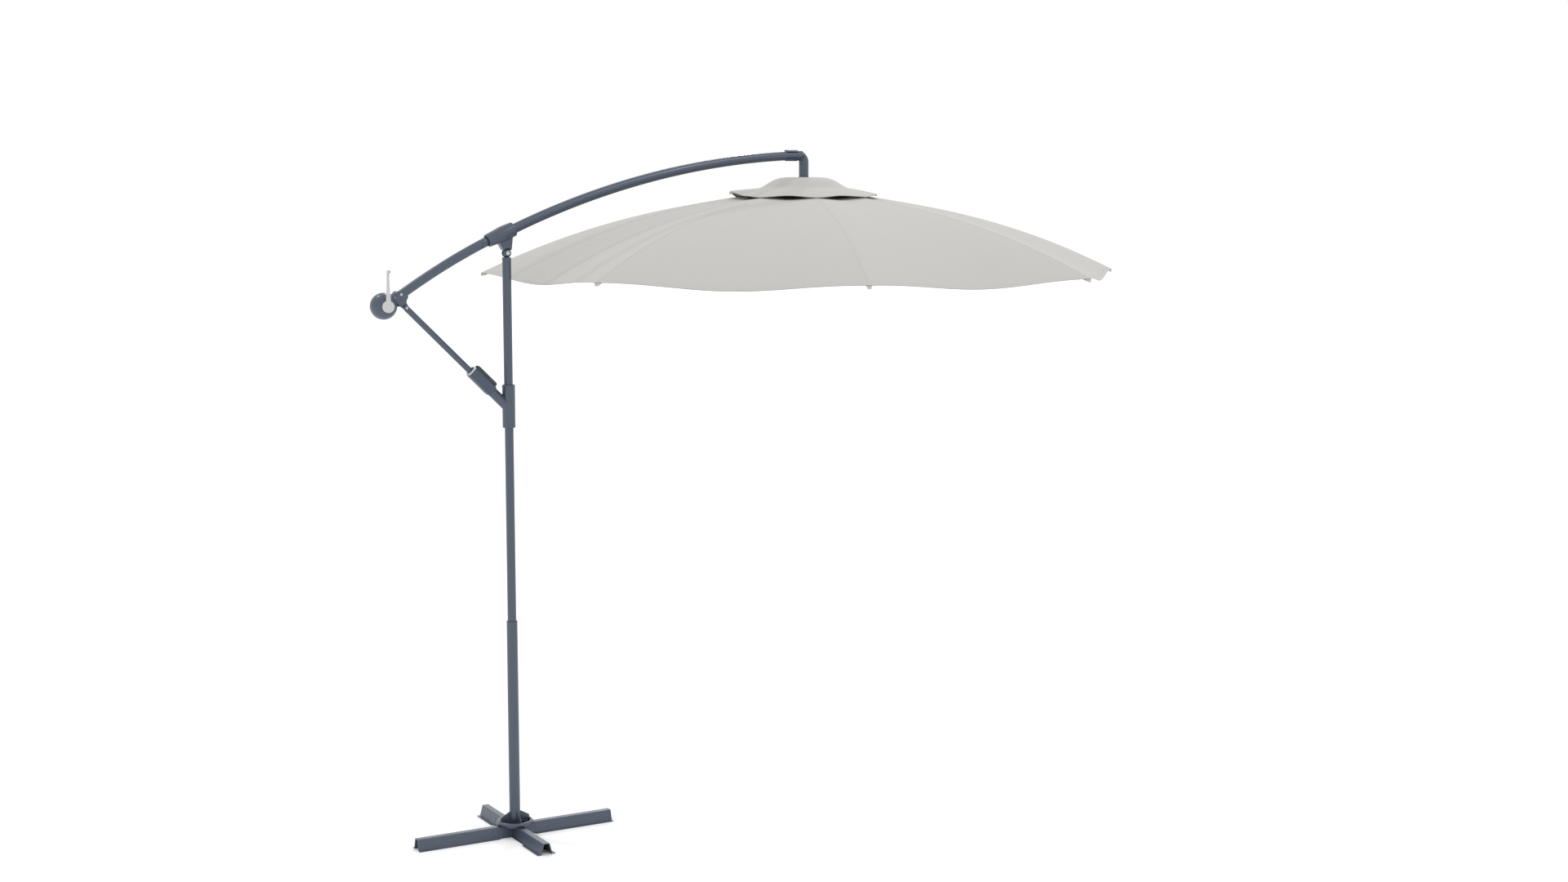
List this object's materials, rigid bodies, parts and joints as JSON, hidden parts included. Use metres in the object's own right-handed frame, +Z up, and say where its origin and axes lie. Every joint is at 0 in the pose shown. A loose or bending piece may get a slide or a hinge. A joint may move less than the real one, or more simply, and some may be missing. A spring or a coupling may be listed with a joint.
{
  "type": "cantilever parasol",
  "caption": "Cantilever parasol: curved arm tilting on a mast with a braced sliding collar, crank, folding ribbed canopy with vent cap, and a cross base for ballast slabs.",
  "frame": {"origin": "on the floor, on the mast's axis, under the centre of the cross base", "axes": "+Z up, +X from the mast towards the canopy, with the arm in the XZ plane; +Y to the back, away from the crank handle"},
  "size_m": [3.1768, 2.535, 2.7508],
  "materials": {
    "frame_paint": "semi-gloss slate grey-blue powder coat",
    "fastener_steel": "zinc-plated steel",
    "pale_plastic": "light grey moulded plastic",
    "frame_plastic": "slate grey-blue moulded plastic",
    "dark_plastic": "near-black moulded plastic",
    "foot_rubber": "black rubber",
    "canopy_cloth": "matt light grey-beige polyester weave"
  },
  "bodies": {
    "mast": {"cross_hub": "frame_paint", "base_arm_left": "frame_paint", "base_arm_right": "frame_paint", "base_arm_front": "frame_paint", "base_arm_back": "frame_paint", "mast_foot": "frame_paint", "centre_bolt": "fastener_steel", "centre_washer": "fastener_steel", "centre_foot": "foot_rubber", "mast_lower_tube": "frame_paint", "mast_bush": "dark_plastic", "mast_upper_tube": "frame_paint", "mast_knuckle": "frame_paint", "tilt_pin": "fastener_steel"},
    "arm": {"arm_saddle": "frame_paint", "coupling_ring": "frame_paint", "arm_lower_tube": "frame_paint", "arm_upper_tube": "frame_paint", "arm_bracket": "frame_paint", "bracket_bolt": "fastener_steel", "brace_pin": "fastener_steel", "crank_housing_front": "frame_paint", "crank_housing_back": "frame_paint", "elbow": "frame_paint", "drop_tube": "frame_paint", "top_hub": "dark_plastic", "vent_cap": "canopy_cloth"},
    "brace": {"brace_rod": "frame_paint"},
    "collar": {"y_collar": "frame_paint", "grip_body": "frame_plastic", "grip_cap": "pale_plastic"},
    "lever": {"grip_lever": "dark_plastic"},
    "crank": {"winding_drum": "pale_plastic", "crank_handle": "pale_plastic"},
    "knob": {"crank_knob": "pale_plastic"},
    "rib_1": {"rib_1": "frame_paint", "canopy_panel_1": "canopy_cloth"},
    "rib_2": {"rib_2": "frame_paint", "canopy_panel_2": "canopy_cloth"},
    "rib_3": {"rib_3": "frame_paint", "canopy_panel_3": "canopy_cloth"},
    "rib_4": {"rib_4": "frame_paint", "canopy_panel_4": "canopy_cloth"},
    "rib_5": {"rib_5": "frame_paint", "canopy_panel_5": "canopy_cloth"},
    "rib_6": {"rib_6": "frame_paint", "canopy_panel_6": "canopy_cloth"},
    "rib_7": {"rib_7": "frame_paint", "canopy_panel_7": "canopy_cloth"},
    "rib_8": {"rib_8": "frame_paint", "canopy_panel_8": "canopy_cloth"},
    "stretcher_1": {"stretcher_1": "frame_paint"},
    "stretcher_2": {"stretcher_2": "frame_paint"},
    "stretcher_3": {"stretcher_3": "frame_paint"},
    "stretcher_4": {"stretcher_4": "frame_paint"},
    "stretcher_5": {"stretcher_5": "frame_paint"},
    "stretcher_6": {"stretcher_6": "frame_paint"},
    "stretcher_7": {"stretcher_7": "frame_paint"},
    "stretcher_8": {"stretcher_8": "frame_paint"},
    "runner": {"runner": "dark_plastic"}
  },
  "joints": [
    {"name": "arm_tilt", "type": "hinge", "parent": "mast", "child": "arm", "pos_m": [0, 0, 2.341], "axis": [0, 1, 0], "range_deg": [-10, 10]},
    {"name": "brace_pivot", "type": "hinge", "parent": "arm", "child": "brace", "pos_m": [-0.4174, 0, 2.1377], "axis": [0, 1, 0], "range_deg": [-10, 10]},
    {"name": "collar_slide", "type": "slide", "parent": "mast", "child": "collar", "axis": [0, 0, 1], "range_m": [-0.045, 0.045]},
    {"name": "lever_press", "type": "slide", "parent": "collar", "child": "lever", "axis": [-0.7022, 0, -0.712], "range_m": [0, 0.004], "stiffness_N_per_m": 800},
    {"name": "crank_turn", "type": "hinge", "parent": "arm", "child": "crank", "pos_m": [-0.5073, 0, 2.1473], "axis": [0, -1, 0], "range_deg": [0, 1800]},
    {"name": "knob_spin", "type": "hinge", "parent": "crank", "child": "knob", "pos_m": [-0.5073, 0, 2.2803], "axis": [0, -1, 0], "continuous": true},
    {"name": "rib_hinge_1", "type": "hinge", "parent": "arm", "child": "rib_1", "pos_m": [1.3875, -0.01392, 2.55222], "axis": [0.3481, 0.9375, 0], "range_deg": [0, 72], "deforming": ["canopy_panel_1", "vent_cap"]},
    {"name": "rib_hinge_2", "type": "hinge", "parent": "arm", "child": "rib_2", "pos_m": [1.38636, 0.01667, 2.55222], "axis": [-0.4168, 0.909, 0], "range_deg": [0, 72], "deforming": ["canopy_panel_2"]},
    {"name": "rib_hinge_3", "type": "hinge", "parent": "arm", "child": "rib_3", "pos_m": [1.36392, 0.0375, 2.55222], "axis": [-0.9375, 0.3481, 0], "range_deg": [0, 72], "deforming": ["canopy_panel_3"]},
    {"name": "rib_hinge_4", "type": "hinge", "parent": "arm", "child": "rib_4", "pos_m": [1.33333, 0.03636, 2.55222], "axis": [-0.909, -0.4168, 0], "range_deg": [0, 72], "deforming": ["canopy_panel_4"]},
    {"name": "rib_hinge_5", "type": "hinge", "parent": "arm", "child": "rib_5", "pos_m": [1.3125, 0.01392, 2.55222], "axis": [-0.3481, -0.9375, 0], "range_deg": [0, 72], "deforming": ["canopy_panel_5"]},
    {"name": "rib_hinge_6", "type": "hinge", "parent": "arm", "child": "rib_6", "pos_m": [1.31364, -0.01667, 2.55222], "axis": [0.4168, -0.909, 0], "range_deg": [0, 72], "deforming": ["canopy_panel_6"]},
    {"name": "rib_hinge_7", "type": "hinge", "parent": "arm", "child": "rib_7", "pos_m": [1.33608, -0.0375, 2.55222], "axis": [0.9375, -0.3481, 0], "range_deg": [0, 72], "deforming": ["canopy_panel_7"]},
    {"name": "rib_hinge_8", "type": "hinge", "parent": "arm", "child": "rib_8", "pos_m": [1.36667, -0.03636, 2.55222], "axis": [0.909, 0.4168, 0], "range_deg": [0, 72], "deforming": ["canopy_panel_8"]},
    {"name": "stretcher_hinge_1", "type": "hinge", "parent": "rib_1", "child": "stretcher_1", "pos_m": [1.96873, -0.22973, 2.4765], "axis": [0.3481, 0.9375, 0], "range_deg": [-144, 0]},
    {"name": "stretcher_hinge_2", "type": "hinge", "parent": "rib_2", "child": "stretcher_2", "pos_m": [1.94995, 0.27506, 2.4765], "axis": [-0.4168, 0.909, 0], "range_deg": [-144, 0]},
    {"name": "stretcher_hinge_3", "type": "hinge", "parent": "rib_3", "child": "stretcher_3", "pos_m": [1.57973, 0.61873, 2.4765], "axis": [-0.9375, 0.3481, 0], "range_deg": [-144, 0]},
    {"name": "stretcher_hinge_4", "type": "hinge", "parent": "rib_4", "child": "stretcher_4", "pos_m": [1.07494, 0.59995, 2.4765], "axis": [-0.909, -0.4168, 0], "range_deg": [-144, 0]},
    {"name": "stretcher_hinge_5", "type": "hinge", "parent": "rib_5", "child": "stretcher_5", "pos_m": [0.73127, 0.22973, 2.4765], "axis": [-0.3481, -0.9375, 0], "range_deg": [-144, 0]},
    {"name": "stretcher_hinge_6", "type": "hinge", "parent": "rib_6", "child": "stretcher_6", "pos_m": [0.75005, -0.27506, 2.4765], "axis": [0.4168, -0.909, 0], "range_deg": [-144, 0]},
    {"name": "stretcher_hinge_7", "type": "hinge", "parent": "rib_7", "child": "stretcher_7", "pos_m": [1.12027, -0.61873, 2.4765], "axis": [0.9375, -0.3481, 0], "range_deg": [-144, 0]},
    {"name": "stretcher_hinge_8", "type": "hinge", "parent": "rib_8", "child": "stretcher_8", "pos_m": [1.62506, -0.59995, 2.4765], "axis": [0.909, 0.4168, 0], "range_deg": [-144, 0]},
    {"name": "runner_hinge", "type": "hinge", "parent": "stretcher_1", "child": "runner", "pos_m": [1.3875, -0.01392, 2.40078], "axis": [0.3481, 0.9375, 0], "range_deg": [0, 72]}
  ],
  "couplings": [
    {"joint": "brace_pivot", "follows": "arm_tilt", "ratio": -1},
    {"joint": "collar_slide", "follows": "arm_tilt", "m_per_rad": 0.217},
    {"joint": "rib_hinge_2", "follows": "rib_hinge_1", "ratio": 1},
    {"joint": "rib_hinge_3", "follows": "rib_hinge_1", "ratio": 1},
    {"joint": "rib_hinge_4", "follows": "rib_hinge_1", "ratio": 1},
    {"joint": "rib_hinge_5", "follows": "rib_hinge_1", "ratio": 1},
    {"joint": "rib_hinge_6", "follows": "rib_hinge_1", "ratio": 1},
    {"joint": "rib_hinge_7", "follows": "rib_hinge_1", "ratio": 1},
    {"joint": "rib_hinge_8", "follows": "rib_hinge_1", "ratio": 1},
    {"joint": "stretcher_hinge_1", "follows": "rib_hinge_1", "ratio": -2},
    {"joint": "stretcher_hinge_2", "follows": "rib_hinge_1", "ratio": -2},
    {"joint": "stretcher_hinge_3", "follows": "rib_hinge_1", "ratio": -2},
    {"joint": "stretcher_hinge_4", "follows": "rib_hinge_1", "ratio": -2},
    {"joint": "stretcher_hinge_5", "follows": "rib_hinge_1", "ratio": -2},
    {"joint": "stretcher_hinge_6", "follows": "rib_hinge_1", "ratio": -2},
    {"joint": "stretcher_hinge_7", "follows": "rib_hinge_1", "ratio": -2},
    {"joint": "stretcher_hinge_8", "follows": "rib_hinge_1", "ratio": -2},
    {"joint": "runner_hinge", "follows": "rib_hinge_1", "ratio": 1},
    {"joint": "crank_turn", "follows": "rib_hinge_1", "ratio": 25}
  ]
}
